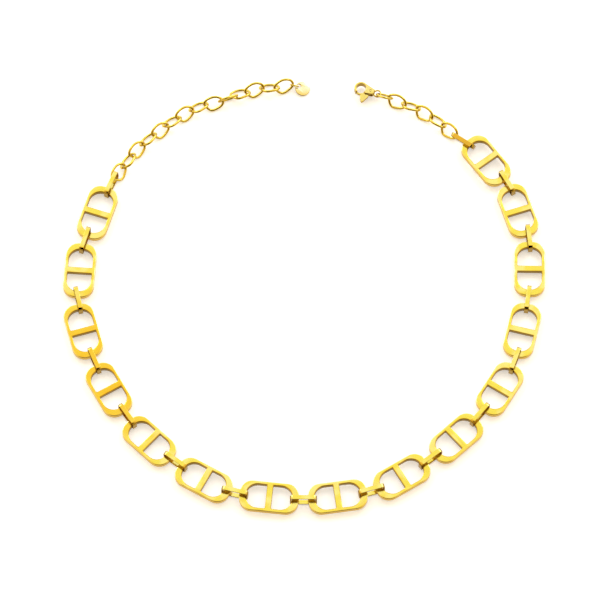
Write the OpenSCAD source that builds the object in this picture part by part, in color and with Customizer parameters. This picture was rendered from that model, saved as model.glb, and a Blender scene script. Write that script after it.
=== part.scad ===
// Necklace of fifteen flat oval links with a crossbar, joined by bent flat-strip connectors.
// It lies open in a wide U. One end carries a lobster clasp on a short cable chain,
// the other a longer extender chain that ends in a plain disc tag.
// The surface it lies on is z = 0, x runs towards the clasp side and y towards the open end.
// The origin is the middle of the outline on that surface.

/* [Oval links] */
// Length of a link
link_l = 20; // [19.8:0.1:20.2]
// Width of a link
link_w = 10.6; // [10.3:0.1:11]
// Thickness of a link
link_t = 1.9; // [1.6:0.1:2]
// Radius of a link's outer corners
link_corner_r = 4.3; // [4:0.1:4.8]
// Width of the rim at the ends of a link
end_rim = 2.2; // [2:0.05:2.3]
// Width of the rim along the sides of a link
side_rim = 1.1; // [1:0.05:1.35]
// Radius of the hole's corners
hole_corner_r = 3.9; // [3.2:0.1:4.1]
// Width of the crossbar
bar_w = 2.05; // [1.6:0.05:2.6]

/* [Strip connectors] */
// Outer length of a connector
loop_l = 9.1; // [9.1:0.05:9.3]
// Outer height of a connector
loop_h = 4.6; // [4.4:0.1:4.8]
// Outer radius of a connector's upper bends
upper_bend_r = 1.1; // [0.9:0.1:1.4]
// Outer radius of its lower bends
lower_bend_r = 0.9; // [0.8:0.1:0.9]
// Width of the strip
strip_w = 1.5; // [1.3:0.1:1.5]
// Thickness of the strip
strip_t = 0.4; // [0.3:0.05:0.4]

/* [Cable chain rings] */
// Outer length of a ring
ring_l = 7.4; // [7.3:0.1:7.6]
// Outer width of a ring
ring_w = 5.4; // [5.2:0.1:5.6]
// Diameter of the wire
wire_d = 0.85; // [0.7:0.05:0.9]
// Squareness of a ring's oval, 2 for an ellipse
ring_power = 2.3; // [2:0.1:2.6]

/* [Disc tag] */
// Diameter of the disc
tag_d = 5.2; // [5:0.1:5.4]
// Thickness of the disc
tag_t = 0.6; // [0.4:0.1:0.6]
// Diameter of the hole near the disc's edge
tag_hole_d = 1.5; // [1.4:0.1:1.6]
// Outer diameter of the small ring that holds the disc
tag_ring_d = 3.4; // [3.4:0.05:3.5]
// Diameter of the small ring's wire
tag_wire_d = 0.5; // [0.4:0.05:0.5]

/* [Clasp ring] */
// Outer diameter of the jump ring that joins the clasp to its chain
jump_d = 6.2; // [6.2:0.05:6.3]
// Diameter of its wire
jump_wire_d = 0.75; // [0.6:0.05:0.75]

/* [Lobster clasp] */
// Outer radius of the hook
hook_r = 2.4; // [2.3:0.05:2.5]
// Radius of the eye inside the hook
eye_r = 1.65; // [1.5:0.05:1.7]
// Thickness of the body
clasp_t = 2.2; // [2:0.1:2.4]
// Thickness of the slot that the lever swings in
slot_t = 1.1; // [1:0.05:1.2]
// Thickness of the lever inside the slot
lever_t = 0.9; // [0.8:0.05:0.9]
// Radius of the pivot pin
pin_r = 0.35; // [0.3:0.01:0.4]
// Distance from the eye's centre to the tail hole
tail_x = 5.9; // [5.85:0.05:5.95]
// Radius of the round tail
tail_r = 1.45; // [1.4:0.05:1.5]
// Thickness of the tail
tail_t = 0.6; // [0.5:0.05:0.6]
// Radius of the hole in the tail
tail_hole_r = 0.97; // [0.95:0.01:1]

/* [Hidden] */
$fn = 64;

// Where the links lie, in chain order. Columns: x, y, heading.
LINKS = [
  [-71.4, 29.6, -108],
  [-77, 8, -94],
  [-75.4, -14.4, -74],
  [-66.3, -35.8, -60],
  [-52.4, -54.4, -43],
  [-33.9, -68.5, -29],
  [-12, -74.6, -6],
  [11, -74.4, 8],
  [32.5, -67.3, 31],
  [51, -53.4, 42],
  [66, -35.6, 58],
  [74, -14.2, 76],
  [77, 8.6, 89],
  [73.4, 30.4, 108],
  [62.8, 49.2, 127],
];

// How the connector between each two links sits on the line between their rims.
// Columns: shift along that line, shift to the right of it, turn from it, roll that leans its top right.
SEATS = [
  [-0.1, 0.3, 11, -2],
  [-0.3, -0.4, 16, -2],
  [0, -0.5, 0, 0],
  [-0.1, -0.7, 4, 0],
  [-0.05, -0.55, 5, 0],
  [0, -0.2, -4, -3],
  [0, 0, 1, -3],
  [0, -0.1, 2, -3],
  [0, -0.1, -1, 0],
  [0, -0.5, 0, 0],
  [0.1, 0, -8, 0],
  [0.1, -0.4, -1, 0],
  [0.2, 0.4, -7, 0],
  [0, 0.6, -8, -3],
];

// The two end connectors. Columns: x, y, heading, roll.
FIRST_CONNECTOR = [-66.8, 40.2, -113, 2];
LAST_CONNECTOR = [55, 56.8, 146, -20];

// Where the cable chain rings lie. Columns: x, y, heading, and roll that lifts the far side.
EXTENDER = [
  [-64.2, 45.2, 59, 34],
  [-61, 49.4, 55, -40],
  [-58, 53.6, 46, 40],
  [-54.2, 57.6, 44, -40],
  [-50, 61, 38, 40],
  [-46, 64.4, 32, -35],
  [-41.6, 67.4, 32, 38],
  [-36.8, 70, 26, -33],
  [-31.6, 71.4, 13, 40],
  [-26.6, 73, 19, -73],
  [-22.4, 75.2, 11, -28],
  [-17.4, 76.6, 22, 40],
  [-12.2, 77.4, 3, -35],
  [-7.2, 78, 22, 45],
];
CLASP_CHAIN = [
  [32.2, 72, -27, 40],
  [37, 70.2, -20, -38],
  [41.6, 67.4, -36, 42],
  [46.2, 64.6, -40, -34],
  [50.2, 60.8, -41, 40],
];

// Place of the disc: x, y, direction from its centre to its hole, and tilt that lifts the hole.
TAG = [-0.8, 77.6, 150, 12];
// Place of the small ring: x, y, z, heading, roll.
TAG_RING = [-3.6, 78.4, 1.6, -13, 113];
// Place of the clasp's jump ring: x, y, heading, roll.
JUMP_RING = [27.8, 73.8, -17, -55];

// Place of the clasp: x, y of the eye's centre, heading from the eye to the tail.
CLASP = [19.7, 76.8, -17];
// Height of the clasp's underside
clasp_z = 0.9;
// Angle on the eye's circle where the hook's tip meets the lever
tip_angle = 236;
// Angle on the eye's circle where the lever leaves the eye for the body
root_angle = 322;
// The lever's pivot, from the eye's centre, and the radius of the boss round it
pivot = [3.4, -0.1];
boss_r = 0.85;
// Gap between the lever's finger and the hook's tip, and between the lever and the body
tip_gap = 0.12;

// Gap between a link's underside and the lower runs of the connectors that carry it
seat_gap = 0.3;
eps = 0.01;

function direction(angle) = [cos(angle), sin(angle)];

// Middle of a link's end rim: side is 1 at the end that the chain runs on from, -1 at its start.
function rim_middle(row, side) =
  [row[0], row[1]] + side * (link_l / 2 - end_rim / 2) * direction(row[2]);

// A connector's x, y, heading and roll from the two links that it joins.
function seat(before, after, row) =
  let (
    start = rim_middle(before, 1),
    run = rim_middle(after, -1) - start,
    heading = atan2(run[1], run[0]),
    middle = start + run / 2 + row[0] * direction(heading) + row[1] * direction(heading - 90)
  )
  [middle[0], middle[1], heading + row[2], row[3]];

CONNECTORS = [
  FIRST_CONNECTOR,
  for (i = [0 : len(SEATS) - 1]) seat(LINKS[i], LINKS[i + 1], SEATS[i]),
  LAST_CONNECTOR,
];

// Height of the upper edge of a rolled connector's lower run.
function lower_run_top(roll) = strip_t * cos(roll) + strip_w * abs(sin(roll));

// Height of link i's underside, just above the two connectors that carry it.
function link_z(i) =
  seat_gap + max(lower_run_top(CONNECTORS[i][3]), lower_run_top(CONNECTORS[i + 1][3]));

// Point on a rounded oval of half sizes a and b. A power of 2 gives an ellipse.
function oval_point(a, b, power, angle) =
  let (c = cos(angle), s = sin(angle), p = 2 / power)
  [a * sign(c) * pow(abs(c), p), b * sign(s) * pow(abs(s), p)];

// One turn of wire points round each step of the oval.
function wire_points(a, b, r, power, steps, sides) = [
  for (i = [0 : steps - 1])
    let (
      turn = 360 / steps,
      here = oval_point(a, b, power, i * turn),
      ahead = oval_point(a, b, power, (i + 0.5) * turn) - oval_point(a, b, power, (i - 0.5) * turn),
      out = [ahead[1], -ahead[0]] / norm(ahead)
    )
    for (k = [0 : sides - 1])
      let (q = k * 360 / sides)
      [here[0] + r * cos(q) * out[0], here[1] + r * cos(q) * out[1], r * sin(q)]
];

function wire_faces(steps, sides) = [
  for (i = [0 : steps - 1], k = [0 : sides - 1])
    let (j = (i + 1) % steps, m = (k + 1) % sides)
    [i * sides + k, i * sides + m, j * sides + m, j * sides + k]
];

// Closed ring of wire, lying flat round the origin. The sizes are outer ones.
module wire_ring(length, width, wire, power, steps, sides) {
  points = wire_points((length - wire) / 2, (width - wire) / 2, wire / 2, power, steps, sides);
  polyhedron(points, wire_faces(steps, sides), convexity = 4);
}

// Ring of wire that rests on the surface at a row's place, tipped by the row's roll.
module resting_ring(row, length, width, wire, power) {
  rest_z = (width - wire) / 2 * abs(sin(row[3])) + wire / 2;
  translate([row[0], row[1], rest_z])
    rotate([row[3], 0, row[2]])
      wire_ring(length, width, wire, power, 16, 6);
}

module cable_chain(rows) {
  for (row = rows)
    resting_ring(row, ring_l, ring_w, wire_d, ring_power);
}

module rounded_rectangle(length, width, radius) {
  square([length - 2 * radius, width], center = true);
  square([length, width - 2 * radius], center = true);
  for (x = [-1, 1], y = [-1, 1])
    translate([x * (length / 2 - radius), y * (width / 2 - radius)])
      circle(radius);
}

module link_outline() {
  difference() {
    rounded_rectangle(link_l, link_w, link_corner_r);
    difference() {
      rounded_rectangle(link_l - 2 * end_rim, link_w - 2 * side_rim, hole_corner_r);
      square([bar_w, link_w], center = true);
    }
  }
}

module link(i) {
  row = LINKS[i];
  color("gold")
    translate([row[0], row[1], link_z(i)])
      rotate([0, 0, row[2]])
        linear_extrude(link_t)
          link_outline();
}

// Side view of a connector, outside or inside the strip, with wide bends above and tight ones below.
module loop_outline(length, height, upper, lower) {
  square([length - 2 * upper, height], center = true);
  translate([-length / 2 + lower, -height / 2])
    square([length - 2 * lower, height - upper]);
  translate([-length / 2, -height / 2 + lower])
    square([length, height - upper - lower]);
  for (x = [-1, 1]) {
    translate([x * (length / 2 - upper), height / 2 - upper])
      circle(upper);
    translate([x * (length / 2 - lower), -height / 2 + lower])
      circle(lower);
  }
}

// Flat strip bent into a closed loop that stands round the rims of two links.
module connector(i) {
  row = CONNECTORS[i];
  rest_z = loop_h / 2 * cos(row[3]) + strip_w / 2 * abs(sin(row[3]));
  color("goldenrod")
    translate([row[0], row[1], rest_z])
      rotate([row[3], 0, row[2]])
        rotate([90, 0, 0])
          linear_extrude(strip_w, center = true)
            difference() {
              loop_outline(loop_l, loop_h, upper_bend_r, lower_bend_r);
              loop_outline(
                loop_l - 2 * strip_t, loop_h - 2 * strip_t,
                upper_bend_r - strip_t, lower_bend_r - strip_t
              );
            }
}

module extender_chain() {
  color("gold")
    cable_chain(EXTENDER);
}

module tag_ring() {
  color("gold")
    translate([TAG_RING[0], TAG_RING[1], TAG_RING[2]])
      rotate([TAG_RING[4], 0, TAG_RING[3]])
        wire_ring(tag_ring_d, tag_ring_d, tag_wire_d, 2, 12, 5);
}

// Plain disc with one hole near its edge, which the small ring holds up on one side.
module tag() {
  hole_x = tag_d / 2 - tag_hole_d / 2 - 0.35;
  color("khaki")
    translate([TAG[0], TAG[1], tag_d / 2 * sin(TAG[3])])
      rotate([0, -TAG[3], TAG[2]])
        difference() {
          cylinder(h = tag_t, d = tag_d);
          translate([hole_x, 0, -eps])
            cylinder(h = tag_t + 2 * eps, d = tag_hole_d);
        }
}

module clasp_chain() {
  color("gold")
    cable_chain(CLASP_CHAIN);
}

module clasp_ring() {
  color("gold")
    resting_ring(JUMP_RING, jump_d, jump_d, jump_wire_d, 2);
}

// Puts the clasp's own frame, with the eye's centre at its origin, where the clasp lies.
module at_clasp() {
  translate([CLASP[0], CLASP[1], clasp_z])
    rotate([0, 0, CLASP[2]])
      children();
}

// Wedge of the plane from the eye's centre between two angles.
module eye_wedge(from, to) {
  reach = 2 * hook_r;
  middle = (from + to) / 2;
  polygon([[0, 0], reach * direction(from), 1.4 * reach * direction(middle), reach * direction(to)]);
}

// Hook, trunk and tail seen from above, without the eye.
module clasp_outline() {
  circle(hook_r);
  polygon([
    [0.6, 2.27], [2.16, 1.7], [3.4, 1.25], [4.75, 0.8],
    [4.75, -0.8], [4.3, -1.2], [1.6, -1.6], [0.6, -0.6],
  ]);
}

module clasp_body() {
  color("gold")
    at_clasp()
      difference() {
        union() {
          linear_extrude(clasp_t)
            difference() {
              clasp_outline();
              circle(eye_r);
              eye_wedge(tip_angle, root_angle - 2);
            }
          translate([0, 0, (clasp_t - tail_t) / 2])
            linear_extrude(tail_t)
              difference() {
                union() {
                  translate([tail_x, 0])
                    circle(tail_r);
                  translate([tail_x - 1.7, -0.8])
                    square([1.5, 1.6]);
                }
                translate([tail_x, 0])
                  circle(tail_hole_r);
              }
        }
        translate([0, 0, (clasp_t - slot_t) / 2])
          linear_extrude(slot_t) {
            translate(pivot)
              circle(boss_r + tip_gap);
            polygon([[4.4, -3], [4.4, -0.7], [3.2, 0.9], [1.2, -0.2], [0, -3]]);
          }
        translate([pivot[0], pivot[1], -eps])
          cylinder(h = clasp_t + 2 * eps, r = pin_r + 0.01);
      }
}

// Lever: a boss on the pin, an arm in the slot, a finger that closes the eye and a thumb nub.
module clasp_lever() {
  color("gold")
    at_clasp()
      translate([0, 0, clasp_t / 2])
        difference() {
          linear_extrude(lever_t, center = true) {
            translate(pivot)
              circle(boss_r);
            polygon([[3.2, 0.68], [1.7, -0.4], [1, -1.3], [0.6, -2.1], [2.6, -1.75], [3.7, -0.9]]);
            intersection() {
              difference() {
                circle(hook_r - 0.05);
                circle(eye_r + 0.05);
              }
              eye_wedge(tip_angle + 3.5, root_angle + 4);
            }
            polygon([[0.5, -2], [0.4, -3], [1.2, -4.7], [1.6, -4.9], [2, -4.5], [3.2, -2.3], [3.1, -1.2]]);
          }
          translate([pivot[0], pivot[1], -clasp_t])
            cylinder(h = 2 * clasp_t, r = pin_r + 0.05);
        }
}

module clasp_pin() {
  color("goldenrod")
    at_clasp()
      translate(pivot)
        cylinder(h = clasp_t, r = pin_r);
}

for (i = [0 : len(LINKS) - 1])
  link(i);
for (i = [0 : len(CONNECTORS) - 1])
  connector(i);
extender_chain();
tag_ring();
tag();
clasp_chain();
clasp_ring();
clasp_body();
clasp_lever();
clasp_pin();
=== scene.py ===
"""Looks of the necklace.

It has oval crossbar links, strip connectors, cable chains, a lobster clasp and a disc tag.
"""

import logging
import math
from collections.abc import Iterator, Mapping, Sequence
from contextlib import contextmanager
from dataclasses import dataclass, field
from enum import Enum

import bpy
import numpy as np
from mathutils import Matrix, Vector


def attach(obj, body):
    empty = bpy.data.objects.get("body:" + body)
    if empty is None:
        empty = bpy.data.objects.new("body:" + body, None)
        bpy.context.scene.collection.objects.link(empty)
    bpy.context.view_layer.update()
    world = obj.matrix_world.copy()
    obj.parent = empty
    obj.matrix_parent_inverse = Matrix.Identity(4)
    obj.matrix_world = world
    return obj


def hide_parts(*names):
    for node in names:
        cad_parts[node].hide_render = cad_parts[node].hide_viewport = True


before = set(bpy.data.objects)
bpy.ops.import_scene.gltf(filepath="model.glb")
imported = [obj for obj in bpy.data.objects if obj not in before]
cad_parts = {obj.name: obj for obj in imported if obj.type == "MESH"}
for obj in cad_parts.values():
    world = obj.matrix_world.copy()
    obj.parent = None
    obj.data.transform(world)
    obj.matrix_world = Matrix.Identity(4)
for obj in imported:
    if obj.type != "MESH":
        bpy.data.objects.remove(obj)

LOG = logging.getLogger("necklace")
Colour = tuple[float, float, float]
Point = tuple[float, float, float]
Span = tuple[float, float]

MM = 0.001
MERGE_DISTANCE = 0.005 * MM
FLAT_DEGREES = 0.5
CORNER_DECIMALS = 7
ROUND_HANDLE = 0.5523  # a round Bezier circle's handle, as a share of the radius
MIX_COLOUR_INPUTS = (6, 7)
MIX_COLOUR_OUTPUT = 2
NOISE_MIDDLE = 0.5
INSIDE = "inside"


class Body(Enum):
    """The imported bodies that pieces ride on."""

    NECKLACE = "necklace"
    LEVER = "lever"


class Slot(Enum):
    """The record's material slots."""

    LINK = "link_gold"
    CONNECTOR = "connector_gold"
    WIRE = "wire_gold"
    TAG = "tag_gold"
    CLASP = "clasp_gold"


class Socket:
    """A node's output, with the arithmetic that adds Math nodes to its tree."""

    def __init__(self, graph: "Graph", end: bpy.types.NodeSocket | None) -> None:
        """Wraps one output of a graph's node."""
        self.graph = graph
        self.end = end

    def _math(self, operation: str, first: "Socket | float", second: "Socket | float") -> "Socket":
        """Adds one Math node for the two values."""
        return self.graph.add("ShaderNodeMath", {"operation": operation}, {0: first, 1: second})

    def __add__(self, other: "Socket | float") -> "Socket":
        """Adds."""
        return self._math("ADD", self, other)

    def __sub__(self, other: "Socket | float") -> "Socket":
        """Subtracts."""
        return self._math("SUBTRACT", self, other)

    def __mul__(self, other: "Socket | float") -> "Socket":
        """Multiplies."""
        return self._math("MULTIPLY", self, other)

    def __rsub__(self, other: float) -> "Socket":
        """Subtracts this value from a number."""
        return self._math("SUBTRACT", other, self)

    __radd__ = __add__
    __rmul__ = __mul__


class Graph:
    """A node tree that is written as expressions."""

    def __init__(self, tree: bpy.types.NodeTree) -> None:
        """Starts from an emptied tree."""
        self.tree = tree
        tree.nodes.clear()

    def add(
        self,
        kind: str,
        settings: Mapping[str, object] | None = None,
        inputs: Mapping[str | int, object] | None = None,
        out: str | int = 0,
    ) -> Socket:
        """Adds a node.

        Args:
            kind: The node's type.
            settings: Its own settings, which are set first.
            inputs: Values or links of its input sockets.
            out: The output socket to go on with.

        Returns:
            The chosen output.
        """
        node = self.tree.nodes.new(kind)
        for name, value in (settings or {}).items():
            setattr(node, name, value)
        for name, value in (inputs or {}).items():
            if isinstance(value, Socket):
                self.tree.links.new(value.end, node.inputs[name])
            else:
                node.inputs[name].default_value = value
        return Socket(self, node.outputs[out] if len(node.outputs) else None)

    def mix(
        self, factor: Socket | float, first: Socket | Colour, second: Socket | Colour
    ) -> Socket:
        """Mixes two colours.

        Args:
            factor: Share of the second colour.
            first: Colour at factor 0.
            second: Colour at factor 1.

        Returns:
            The mixed colour.
        """
        inputs: dict[str | int, object] = {0: factor}
        for side, colour in zip(MIX_COLOUR_INPUTS, (first, second)):
            inputs[side] = colour if isinstance(colour, Socket) else (*colour, 1.0)
        return self.add("ShaderNodeMix", {"data_type": "RGBA"}, inputs, out=MIX_COLOUR_OUTPUT)

    def ease(self, value: Socket, start: float, end: float) -> Socket:
        """Maps a value smoothly to 0 at start and to 1 at end, and flat beyond them.

        Args:
            value: The value to map.
            start: Where the result is 0. It may be above end, and the result then falls.
            end: Where the result is 1.

        Returns:
            The mapped value.
        """
        return self.add(
            "ShaderNodeMapRange",
            {"interpolation_type": "SMOOTHSTEP"},
            {"Value": value, "From Min": start, "From Max": end},
        )

    def vector_value(self, operation: str, first: Socket, second: Point) -> Socket:
        """One number from two vectors, such as their distance.

        Args:
            operation: The Vector Math node's operation.
            first: The first vector, which changes from place to place.
            second: The second vector, which is fixed.

        Returns:
            The number.
        """
        settings = {"operation": operation}
        return self.add("ShaderNodeVectorMath", settings, {0: first, 1: second}, out="Value")

    def noise(self, place: Socket, size: float, detail: float) -> Socket:
        """Noise between about 0.3 and 0.7.

        Args:
            place: Coordinates in metres.
            size: Size of its patches in metres.
            detail: Octaves of finer noise.

        Returns:
            The noise's value.
        """
        inputs = {"Vector": place, "Scale": 1 / size, "Detail": detail}
        return self.add("ShaderNodeTexNoise", None, inputs)


def new_material(name: str) -> tuple[bpy.types.Material, Graph]:
    """Makes an empty material.

    Args:
        name: The material's name.

    Returns:
        The material and the graph of its nodes.
    """
    made = bpy.data.materials.new(name)
    made.use_nodes = True
    return made, Graph(made.node_tree)


@dataclass(frozen=True)
class GoldPlate:
    """Polished gold plate with painted light and shade: bright on its level faces, deeper on its
    walls and undersides.

    Colours are linear and sizes are in metres. A height is the upward part of the surface's
    direction: 1 on a level face and 0 on an upright side.

    Attributes:
        name: The material's name.
        face: Colour of level faces.
        deep_tone_and_reflection: Deeper gold of some random patches, and of the painted reflection
            on faces at the loop's front left.
        pale: Paler gold of patches elsewhere.
        edge: Colour of rounded edges, a painted highlight or shade by their tilt, outside round the
            outline where hole_wall_shade is given.
        inner_edge_shade: Painted shade of the edges round holes, where hole_wall_shade is given.
        wall_shade: Painted shade of walls and undersides.
        hole_wall_shade: Painted shade of the walls of holes, for meshes that store how far inside
            they lie.
        polish: Roughness of faces.
        wall_polish: Roughness of walls.
        ripple: Depth of the shallow waves.
        tone: Share of the pale gold in its patches.
        wall_shade_heights: Heights between which the painted wall shade gives way to edge and face.
        edge_highlight_heights: Heights between which the painted edge colour gives way to face.
        hole_shade_depths: Depths inside the outline between which outer colours give way to the
            painted shade of holes.
        patch_size: Size of the patches.
        patch_levels: Noise levels between which a patch begins.
        patch_share: Share of the deeper gold in random patches.
        painted_reflection_share: Share of the deeper gold that paints a reflection at the loop's
            front left.
        painted_reflection_middle: Middle of the painted reflection.
        painted_reflection_reach: Distances from it at which the painted reflection starts and is
            full.
        smear_size: Size of the rubbed marks.
        smear: How much they change the roughness.
        wave_size: Size of the shallow waves.
        grain_size: Size of the fine grain on the waves.
        grain: The grain's share of the waves' depth.
    """

    name: str
    face: Colour = (0.88, 0.71, 0.09)
    deep_tone_and_reflection: Colour = (0.88, 0.54, 0.035)
    pale: Colour = (0.94, 0.85, 0.29)
    edge: Colour = (0.86, 0.66, 0.17)
    inner_edge_shade: Colour = (0.68, 0.43, 0.035)
    wall_shade: Colour = (0.42, 0.26, 0.03)
    hole_wall_shade: Colour | None = None
    polish: float = 0.17
    wall_polish: float = 0.32
    ripple: float = 0.00034
    tone: float = 0.6
    wall_shade_heights: Span = (0.45, 0.93)
    edge_highlight_heights: Span = (0.965, 0.9998)
    hole_shade_depths: Span = (0.3 * MM, 0.8 * MM)
    patch_size: float = 4.5 * MM
    patch_levels: Span = (0.42, 0.62)
    patch_share: float = 0.15
    painted_reflection_share: float = 0.85
    painted_reflection_middle: Point = (-0.071, -0.029, 0.0)
    painted_reflection_reach: Span = (0.040, 0.013)
    smear_size: float = 1.6 * MM
    smear: float = 0.12
    wave_size: float = 5.0 * MM
    grain_size: float = 0.5 * MM
    grain: float = 0.003

    def material(self) -> bpy.types.Material:
        """Builds the finish's node tree.

        Returns:
            The finished material.
        """
        made, graph = new_material(self.name)
        place = graph.add("ShaderNodeTexCoord", out="Object")
        normal = graph.add("ShaderNodeNewGeometry", out="Normal")
        height = graph.add("ShaderNodeSeparateXYZ", None, {0: normal}, out="Z")
        # Painted shade: faces that point less upward, walls and undersides, take the darker wall
        # colour.
        up = graph.ease(height, *self.wall_shade_heights)
        # Painted highlight and shade on edges: faces tilted a little from level take the edge
        # colour, paler or deeper than the face.
        level = graph.ease(height, *self.edge_highlight_heights)
        edge, wall_shade = self._painted_edge_and_wall_shade(graph)
        colour = graph.mix(up, wall_shade, graph.mix(level, edge, self._face_colour(graph, place)))
        marks = graph.noise(place, self.smear_size, detail=3.0) - NOISE_MIDDLE
        rough = self.wall_polish - up * (self.wall_polish - self.polish) + marks * self.smear
        fine = graph.noise(place, self.grain_size, detail=2.0)
        waves = graph.noise(place, self.wave_size, detail=1.0) + fine * self.grain
        bump = graph.add(
            "ShaderNodeBump", None, {"Strength": 1.0, "Distance": self.ripple, "Height": waves}
        )
        shader = graph.add(
            "ShaderNodeBsdfPrincipled",
            None,
            {"Base Color": colour, "Metallic": 1.0, "Roughness": rough, "Normal": bump},
        )
        graph.add("ShaderNodeOutputMaterial", None, {"Surface": shader})
        return made

    def _face_colour(self, graph: Graph, place: Socket) -> Socket:
        """Colours the faces in random patches, with a painted reflection that deepens them towards
        the loop's front left.

        Args:
            graph: The material's graph.
            place: Object coordinates.

        Returns:
            The faces' colour.
        """
        noise = graph.noise(place, self.patch_size, detail=1.0)
        patches = graph.ease(noise, *self.patch_levels)
        # Painted reflection: faces round a point at the loop's front left are deepened to an orange
        # gold.
        far = graph.vector_value("DISTANCE", place, self.painted_reflection_middle)
        warm = graph.ease(far, *self.painted_reflection_reach)
        share = warm * self.painted_reflection_share + patches * self.patch_share
        face = graph.mix(share, self.face, self.deep_tone_and_reflection)
        return graph.mix(patches * (1.0 - warm) * self.tone, face, self.pale)

    def _painted_edge_and_wall_shade(self, graph: Graph) -> tuple[Socket | Colour, Socket | Colour]:
        """Tells the painted shade of edges and walls of holes from the outer ones, where
        hole_wall_shade is given.

        Args:
            graph: The material's graph.

        Returns:
            The edges' painted colour and the walls' painted shade.
        """
        if self.hole_wall_shade is None:
            return self.edge, self.wall_shade
        # Painted shade: the walls and edges round holes are darkened by how far inside the outline
        # they lie.
        inside = graph.add("ShaderNodeAttribute", {"attribute_name": INSIDE}, out="Fac")
        hole_shade = graph.ease(inside, *self.hole_shade_depths)
        edge = graph.mix(hole_shade, self.edge, self.inner_edge_shade)
        return edge, graph.mix(hole_shade, self.wall_shade, self.hole_wall_shade)


@dataclass(frozen=True)
class WhiteSurface:
    """The pale surface that the necklace lies on.

    Attributes:
        name: The material's name.
        colour: Its colour.
        roughness: Its roughness.
        glow_colour: Colour of a glow that lifts the shadows on it.
        glow: Strength of that glow.
    """

    name: str = "white_surface"
    colour: Colour = (0.93, 0.93, 0.93)
    roughness: float = 0.3
    glow_colour: Colour = (0.95, 0.97, 1.0)
    glow: float = 0.5

    def material(self) -> bpy.types.Material:
        """Builds the surface's node tree.

        Returns:
            The finished material.
        """
        made, graph = new_material(self.name)
        inputs = {
            "Base Color": (*self.colour, 1.0),
            "Roughness": self.roughness,
            "Emission Color": (*self.glow_colour, 1.0),
            "Emission Strength": self.glow,
        }
        shader = graph.add("ShaderNodeBsdfPrincipled", None, inputs)
        graph.add("ShaderNodeOutputMaterial", None, {"Surface": shader})
        return made


def deselect() -> None:
    """Leaves nothing selected and nothing active."""
    for thing in bpy.context.selected_objects:
        thing.select_set(False)
    bpy.context.view_layer.objects.active = None


def pick(thing: bpy.types.Object) -> None:
    """Selects one object alone and makes it active.

    Args:
        thing: The object to select.
    """
    deselect()
    thing.hide_viewport = False
    thing.select_set(True)
    bpy.context.view_layer.objects.active = thing


@contextmanager
def editing(thing: bpy.types.Object) -> Iterator[None]:
    """Edit mode on one object, with all of its mesh selected.

    Args:
        thing: The object to edit.
    """
    pick(thing)
    bpy.ops.object.mode_set(mode="EDIT")
    bpy.ops.mesh.select_all(action="SELECT")
    yield
    bpy.ops.object.mode_set(mode="OBJECT")


def refine(thing: bpy.types.Object, kind: str, **settings: object) -> None:
    """Adds a modifier and applies it.

    Args:
        thing: The object to change.
        kind: The modifier's type.
        settings: The modifier's own settings.
    """
    pick(thing)
    modifier = thing.modifiers.new(kind.lower(), kind)
    for name, value in settings.items():
        setattr(modifier, name, value)
    bpy.ops.object.modifier_apply(modifier=modifier.name)


def bevel(thing: bpy.types.Object, width: float, segments: int, degrees: float = 40.0) -> None:
    """Rounds the edges that turn by more than an angle.

    Args:
        thing: The object to change.
        width: The rounding's width in metres.
        segments: Faces across it.
        degrees: The smallest angle that is rounded.
    """
    angle = math.radians(degrees)
    refine(
        thing, "BEVEL", width=width, segments=segments, limit_method="ANGLE", angle_limit=angle
    )


def smooth(thing: bpy.types.Object, degrees: float = 35.0) -> None:
    """Shades smoothly, with sharp edges above an angle."""
    pick(thing)
    bpy.ops.object.shade_smooth_by_angle(angle=math.radians(degrees))


def duplicate(thing: bpy.types.Object, name: str) -> bpy.types.Object:
    """Copies an object with its own mesh.

    Args:
        thing: The object to copy.
        name: The copy's name, and its mesh's.

    Returns:
        The copy, which has no parent.
    """
    copy = thing.copy()
    copy.data = thing.data.copy()
    copy.name = copy.data.name = name
    copy.parent = None
    bpy.context.scene.collection.objects.link(copy)
    return copy


def traced(node: str, name: str) -> bpy.types.Object:
    """A closed copy of a CAD node, with its flat faces merged.

    Args:
        node: The CAD node's name.
        name: The new object's name.

    Returns:
        The copy, in its place.
    """
    copy = duplicate(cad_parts[node], name)
    with editing(copy):
        bpy.ops.mesh.remove_doubles(threshold=MERGE_DISTANCE)
        bpy.ops.mesh.dissolve_limited(angle_limit=math.radians(FLAT_DEGREES))
    return copy


def softened(node: str, name: str, edge: float, segments: int) -> bpy.types.Object:
    """A copy of a CAD node with rounded edges.

    Args:
        node: The CAD node's name.
        name: The new object's name.
        edge: Width of the rounding in metres.
        segments: Faces across it.

    Returns:
        The copy, in its place.
    """
    piece = traced(node, name)
    bevel(piece, edge, segments)
    smooth(piece)
    return piece


def positions(mesh: bpy.types.Mesh) -> np.ndarray:
    """Reads a mesh's corners.

    Args:
        mesh: The mesh to read.

    Returns:
        Their positions, one row each.
    """
    points = np.empty(len(mesh.vertices) * 3)
    mesh.vertices.foreach_get("co", points)
    return points.reshape(-1, 3)


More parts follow.
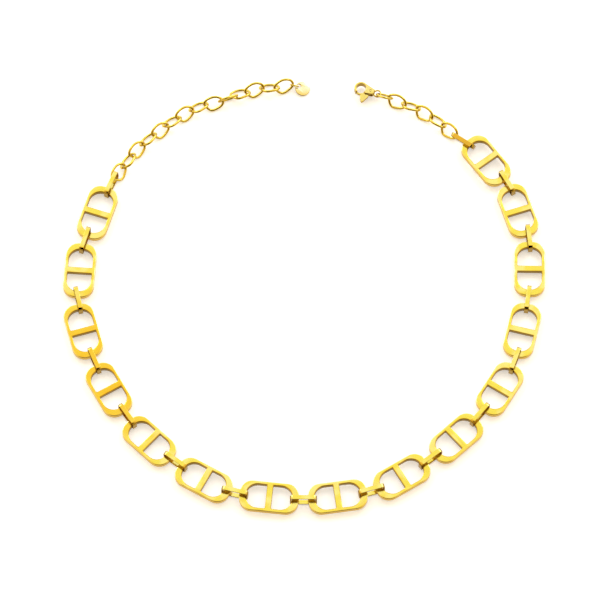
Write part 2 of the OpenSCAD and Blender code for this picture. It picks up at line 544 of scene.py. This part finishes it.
@dataclass(frozen=True)
class Place:
    """Where a solid lies.

    Attributes:
        middle: Its middle.
        axes: Its own axes as columns, the longest first.
        size: Its size along them.
    """

    middle: Vector
    axes: Matrix
    size: Point

    @classmethod
    def of(cls, points: np.ndarray) -> "Place":
        """Finds the place of a solid that is the same on both sides of its own three planes.

        Args:
            points: Its corners, one row each.

        Returns:
            The place, with the longest direction first and the third pointing up.
        """
        middle = points.mean(0)
        spread, axes = np.linalg.eigh(np.cov((points - middle).T))
        axes = axes[:, np.argsort(spread)[::-1]]
        if axes[2, 2] < 0:
            axes[:, 2] *= -1
        axes[:, 1] = np.cross(axes[:, 2], axes[:, 0])
        size = np.ptp((points - middle) @ axes, axis=0)
        return cls(Vector(middle), Matrix(axes.tolist()), tuple(size))

    @classmethod
    def of_node(cls, node: str) -> "Place":
        """Finds the place of a CAD node, counting each corner of its loose triangles once."""
        points = positions(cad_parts[node].data)
        return cls.of(np.unique(np.round(points, CORNER_DECIMALS), axis=0))

    def move(self) -> Matrix:
        """The move from the origin to this place."""
        return Matrix.Translation(self.middle) @ self.axes.to_4x4()

    def put(self, thing: bpy.types.Object) -> None:
        """Moves an object's mesh from the origin to this place."""
        thing.data.transform(self.move())

    def take(self, thing: bpy.types.Object) -> None:
        """Moves an object's mesh from this place to the origin."""
        thing.data.transform(self.move().inverted())


def loose_places(node: str) -> list[Place]:
    """Finds the places of a CAD node's separate solids.

    Args:
        node: The CAD node's name.

    Returns:
        The places, from left to right.
    """
    copy = traced(node, "loose")
    with editing(copy):
        bpy.ops.mesh.separate(type="LOOSE")
    parts = list(bpy.context.selected_objects)
    places = [Place.of(positions(part.data)) for part in parts]
    for part in parts:
        bpy.data.objects.remove(part)
    return sorted(places, key=lambda place: place.middle.x)


def joined(parts: Sequence[bpy.types.Object]) -> bpy.types.Object:
    """Joins objects into the first one.

    Args:
        parts: One object or more.

    Returns:
        The first object, with all the meshes.
    """
    pick(parts[0])
    for part in parts[1:]:
        part.select_set(True)
    if len(parts) > 1:
        bpy.ops.object.join()
    return parts[0]


def dress(
    thing: bpy.types.Object,
    material: bpy.types.Material,
    node: str,
    body: Body = Body.NECKLACE,
) -> None:
    """Gives a piece its finish and hands it to the frame.

    Args:
        thing: The piece.
        material: Its finish.
        node: The CAD node that it stands for.
        body: The body that it rides on.
    """
    thing.data.materials.clear()
    thing.data.materials.append(material)
    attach(thing, body.value)
    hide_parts(node)
    LOG.info("%s: %d faces, rides on %s", thing.name, len(thing.data.polygons), body.value)


@dataclass
class OvalLinks:
    """The flat cast links with a crossbar, their edges softened by polishing.

    Attributes:
        count: How many links there are.
        straightest: The CAD link that lies straightest, which the others are copied from.
        edge: Width of the rounded edges.
        segments: Faces across them.
        edge_degrees: The smallest angle that is rounded.
        flatness: How many times wider than deep the rounding is.
        corner: Radius of the outline's corners.
        finish: The links' gold.
    """

    count: int = 15
    straightest: int = 13
    edge: float = 0.52 * MM
    segments: int = 7
    edge_degrees: float = 30.0
    flatness: float = 2.6
    corner: float = 4.3 * MM
    # Painted light and shade: the pale edges are a painted highlight, the outer walls painted
    # shade, and the walls of holes darker painted shade.
    finish: GoldPlate = GoldPlate(
        "link_plate", edge=(0.97, 0.88, 0.42), wall_shade=(0.66, 0.44, 0.08), hole_wall_shade=(0.30, 0.18, 0.02)
    )

    def build(self) -> None:
        """Copies the link to the place of each CAD link."""
        plate = self.finish.material()
        first = self.master()
        for i in range(1, self.count + 1):
            node = f"link_{i}"
            link = duplicate(first, f"oval_{node}")
            Place.of_node(node).put(link)
            dress(link, plate, node)
        bpy.data.objects.remove(first)

    def master(self) -> bpy.types.Object:
        """Models one link flat round the origin.

        Returns:
            The link, which marks how far inside its outline each corner lies.
        """
        node = f"link_{self.straightest}"
        link = traced(node, "oval")
        place = Place.of_node(node)
        place.take(link)
        self.stretch(link, self.flatness)
        bevel(link, self.edge, self.segments, self.edge_degrees)
        self.stretch(link, 1 / self.flatness)
        smooth(link)
        self.mark(link, place.size)
        return link

    def mark(self, link: bpy.types.Object, size: Point) -> None:
        """Stores at each corner of the mesh how far inside the outline it lies.

        Args:
            link: The link, flat round the origin.
            size: Its length, width and thickness.
        """
        beyond = np.abs(positions(link.data)[:, :2]) - (np.array(size[:2]) / 2 - self.corner)
        inside = self.corner - np.linalg.norm(np.maximum(beyond, 0), axis=1)
        link.data.attributes.new(INSIDE, "FLOAT", "POINT").data.foreach_set("value", inside)

    @staticmethod
    def stretch(link: bpy.types.Object, height: float) -> None:
        """Stretches the mesh in height, so that a bevel ends up wider than it is deep."""
        with editing(link):
            bpy.ops.transform.resize(value=(1, 1, height), center_override=(0, 0, 0))


@dataclass
class StripConnectors:
    """The bent flat strips that join the links.

    Attributes:
        count: How many strips there are.
        edge: Width of their rounded edges.
        segments: Faces across the rounding.
        finish: The strips' gold.
    """

    count: int = 16
    edge: float = 0.09 * MM
    segments: int = 3
    # Painted light and shade: the strips' walls and undersides are darker than their level faces.
    finish: GoldPlate = GoldPlate("strip_plate", polish=0.14, ripple=0.0001)

    def build(self) -> None:
        """Makes every connector from its CAD node."""
        plate = self.finish.material()
        for i in range(1, self.count + 1):
            node = f"connector_{i}"
            strip = softened(node, f"strip_{node}", self.edge, self.segments)
            refine(strip, "WEIGHTED_NORMAL", keep_sharp=True)
            dress(strip, plate, node)


@dataclass
class WireRings:
    """Rings of round wire, bent to an oval and lying as their CAD solids do.

    Attributes:
        node: The CAD node that they stand for.
        name: The piece's name.
        wire: Diameter of the wire.
        squareness: Handle length as a share of the half size, above ROUND_HANDLE for a fuller oval.
        steps: Lengths of wire to a quarter turn.
        sides: Bevel resolution of the wire.
        smooth_degrees: The largest angle that is shaded smoothly.
        finish: The rings' gold.
    """

    node: str
    name: str
    wire: float = 0.9 * MM
    squareness: float = 0.6395
    steps: int = 12
    sides: int = 5
    smooth_degrees: float = 60.0
    # Painted shade: the wires' sides and undersides are darker than their tops.
    finish: GoldPlate = GoldPlate(
        "wire_plate", edge=(0.82, 0.64, 0.13), wall_shade=(0.60, 0.42, 0.06), ripple=0.00001
    )

    def build(self) -> None:
        """Copies the ring to each solid's place and joins the copies."""
        places = loose_places(self.node)
        flat = self.master(places)
        rings = []
        for place in places:
            ring = duplicate(flat, self.name)
            place.put(ring)
            rings.append(ring)
        bpy.data.objects.remove(flat)
        piece = joined(rings)
        smooth(piece, self.smooth_degrees)
        dress(piece, self.finish.material(), self.node)

    def master(self, places: Sequence[Place]) -> bpy.types.Object:
        """Models one ring flat round the origin.

        Args:
            places: The places of the rings, which share one size.

        Returns:
            The ring as a mesh.
        """
        length, width, _ = np.max([place.size for place in places], axis=0)
        half = Vector(((length - self.wire) / 2, (width - self.wire) / 2, 1.0))
        reach = self.squareness / ROUND_HANDLE
        deselect()
        bpy.ops.curve.primitive_bezier_circle_add(radius=1.0)
        ring = bpy.context.object
        for point in ring.data.splines[0].bezier_points:
            left = point.co + (point.handle_left - point.co) * reach
            right = point.co + (point.handle_right - point.co) * reach
            point.handle_left_type = point.handle_right_type = "FREE"
            point.handle_left, point.handle_right = left * half, right * half
            point.co = point.co * half
        ring.data.resolution_u = self.steps
        ring.data.bevel_depth = self.wire / 2
        ring.data.bevel_resolution = self.sides
        bpy.ops.object.convert(target="MESH")
        return bpy.context.object


@dataclass
class DiscTag:
    """The plain disc at the extender's end.

    Attributes:
        edge: Width of its rounded edges.
        segments: Faces across the rounding.
        finish: The disc's paler gold.
    """

    edge: float = 0.14 * MM
    segments: int = 4
    # Painted highlight: the disc's rounded edges are paler than its face, and its walls take
    # painted shade.
    finish: GoldPlate = GoldPlate(
        "tag_plate", face=(0.98, 0.91, 0.5), pale=(0.99, 0.95, 0.68), edge=(0.98, 0.94, 0.6),
        ripple=0.00002, tone=0.5,
    )

    def build(self) -> None:
        """Makes the disc from its CAD node."""
        disc = softened("tag", "disc_tag", self.edge, self.segments)
        dress(disc, self.finish.material(), "tag")


@dataclass
class LobsterClasp:
    """The clasp's cast hook and trunk, its sprung lever and the pin.

    Attributes:
        grain: Size of the voxels that the cast body is remade from.
        softening: Rounds of smoothing, which take its corners off.
        softening_factor: Strength of each round.
        smooth_degrees: The largest angle of the cast body that is shaded smoothly.
        lever_edge: Width of the lever's rounded edges.
        pin_edge: Width of the pin's rounded edges.
        segments: Faces across the rounding.
        finish: The clasp's gold.
    """

    grain: float = 0.08 * MM
    softening: int = 14
    softening_factor: float = 0.5
    smooth_degrees: float = 80.0
    lever_edge: float = 0.12 * MM
    pin_edge: float = 0.06 * MM
    segments: int = 5
    # Painted shade: the clasp's rounded edges and walls are darker than its level faces.
    finish: GoldPlate = GoldPlate(
        "clasp_plate", face=(0.84, 0.66, 0.14), pale=(0.88, 0.75, 0.3), edge=(0.76, 0.58, 0.15),
        ripple=0.0001,
    )

    def build(self) -> None:
        """Makes the three pieces from their CAD nodes."""
        plate = self.finish.material()
        cast = traced("clasp_body", "clasp_body_plated")
        refine(cast, "REMESH", mode="VOXEL", voxel_size=self.grain)
        refine(cast, "SMOOTH", factor=self.softening_factor, iterations=self.softening)
        smooth(cast, self.smooth_degrees)
        dress(cast, plate, "clasp_body")
        lever = softened("clasp_lever", "clasp_lever_plated", self.lever_edge, self.segments)
        dress(lever, plate, "clasp_lever", Body.LEVER)
        pin = softened("clasp_pin", "clasp_pin_plated", self.pin_edge, self.segments)
        dress(pin, plate, "clasp_pin")


@dataclass(frozen=True)
class Softbox:
    """A square lamp that points at the origin.

    Attributes:
        name: The lamp's name.
        azimuth: Its direction in degrees, from straight behind to the right.
        elevation: Degrees above the surface.
        side: Length of its side in metres.
        distance: Its distance in metres.
        energy: Its power in watts.
    """

    name: str
    azimuth: float
    elevation: float = 42.0
    side: float = 0.5
    distance: float = 1.4
    energy: float = 2.6

    def build(self) -> None:
        """Adds the lamp."""
        lamp = bpy.data.lights.new(self.name, "AREA")
        lamp.shape = "RECTANGLE"
        lamp.size = lamp.size_y = self.side
        lamp.energy = self.energy
        turn, rise = math.radians(self.azimuth), math.radians(self.elevation)
        spot = self.distance * Vector(
            (math.sin(turn) * math.cos(rise), math.cos(turn) * math.cos(rise), math.sin(rise))
        )
        facing = spot.to_track_quat("Z", "Y").to_matrix().to_4x4()
        box = bpy.data.objects.new(self.name, lamp)
        box.matrix_world = Matrix.Translation(spot) @ facing
        bpy.context.scene.collection.objects.link(box)


@dataclass
class Studio:
    """The pale surface, the soft light and the camera.

    Attributes:
        target: The point that the camera looks at.
        elevation: The camera's angle above the surface.
        distance: The camera's distance from the target.
        lens: Focal length in millimetres.
        sensor: Width of the camera's sensor in millimetres.
        sight: How far the camera sees, in metres.
        floor_size: Side of the surface in metres.
        surface: The surface's finish.
        sky: Strength of the sky's light.
        tilt: How much stronger it is behind, and weaker in front.
        white: The sky's colour behind.
        warm: Its colour overhead and in front.
        warm_depth: Backward part of a direction where the sky is still white, and fully warm.
        flag: Strength that a dark flag takes from the sky.
        flag_way: Direction of the flag's middle, in front.
        flag_reach: Cosines of the angle to that direction where the flag starts and is full.
        boxes: The softboxes behind on both sides.
    """

    target: Vector = field(default_factory=lambda: Vector((-1.63, -3.27, 2.85)) * MM)
    elevation: float = math.radians(67.195)
    distance: float = 1456.2 * MM
    lens: float = 256.08
    sensor: float = 36.0
    sight: float = 20.0
    floor_size: float = 6.0
    surface: WhiteSurface = WhiteSurface()
    sky: float = 1.03
    tilt: float = 0.22
    white: Colour = (1.0, 1.0, 1.0)
    warm: Colour = (1.0, 0.72, 0.24)
    warm_depth: Span = (0.32, 0.04)
    flag: float = 0.97
    flag_way: Point = (0.0, -0.743, 0.669)
    flag_reach: Span = (0.70, 0.93)
    boxes: tuple[Softbox, ...] = (Softbox("left_softbox", -40.0), Softbox("right_softbox", 40.0))

    def build(self) -> None:
        """Sets the camera, the surface, the sky and the softboxes."""
        self._camera()
        self._surface()
        self._sky()
        for box in self.boxes:
            box.build()

    def _camera(self) -> None:
        """Adds the camera at the photograph's angle."""
        sine, cosine = math.sin(self.elevation), math.cos(self.elevation)
        back = Vector((0, -cosine, sine))
        axes = Matrix(((1, 0, 0), (0, sine, -cosine), (0, cosine, sine))).to_4x4()
        lens = bpy.data.cameras.new("camera")
        lens.lens = self.lens
        lens.sensor_width = self.sensor
        lens.clip_end = self.sight
        camera = bpy.data.objects.new("camera", lens)
        camera.matrix_world = Matrix.Translation(self.target + self.distance * back) @ axes
        bpy.context.scene.collection.objects.link(camera)
        bpy.context.scene.camera = camera

    def _surface(self) -> None:
        """Adds the surface that the necklace lies on."""
        deselect()
        bpy.ops.mesh.primitive_plane_add(size=self.floor_size)
        floor = bpy.context.object
        floor.name = "surface"
        floor.data.materials.append(self.surface.material())

    def _sky(self) -> None:
        """Lights softly from all round, white behind and warm in front, with a dark flag there."""
        scene = bpy.context.scene
        scene.view_settings.view_transform = "Standard"
        scene.view_settings.look = "None"
        scene.world = bpy.data.worlds.new("studio")
        scene.world.use_nodes = True
        graph = Graph(scene.world.node_tree)
        way = graph.add("ShaderNodeTexCoord", out="Generated")
        depth = graph.add("ShaderNodeSeparateXYZ", None, {0: way}, out="Y")
        towards_flag = graph.vector_value("DOT_PRODUCT", way, self.flag_way)
        shaded = graph.ease(towards_flag, *self.flag_reach)
        glow = self.sky + depth * self.tilt - shaded * self.flag
        colour = graph.mix(graph.ease(depth, *self.warm_depth), self.white, self.warm)
        shade = graph.add("ShaderNodeBackground", None, {"Color": colour, "Strength": glow})
        graph.add("ShaderNodeOutputWorld", None, {"Surface": shade})


def main() -> None:
    """Builds the necklace and its studio."""
    logging.basicConfig(level=logging.INFO, format="%(name)s: %(message)s")
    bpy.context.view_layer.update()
    Studio().build()
    OvalLinks().build()
    StripConnectors().build()
    WireRings("extender_chain", "extender_rings").build()
    WireRings("clasp_chain", "clasp_side_rings").build()
    WireRings("clasp_ring", "jump_ring", wire=0.75 * MM, squareness=ROUND_HANDLE).build()
    WireRings("tag_ring", "tag_small_ring", wire=0.5 * MM, squareness=ROUND_HANDLE).build()
    DiscTag().build()
    LobsterClasp().build()


if __name__ == "__main__":
    main()
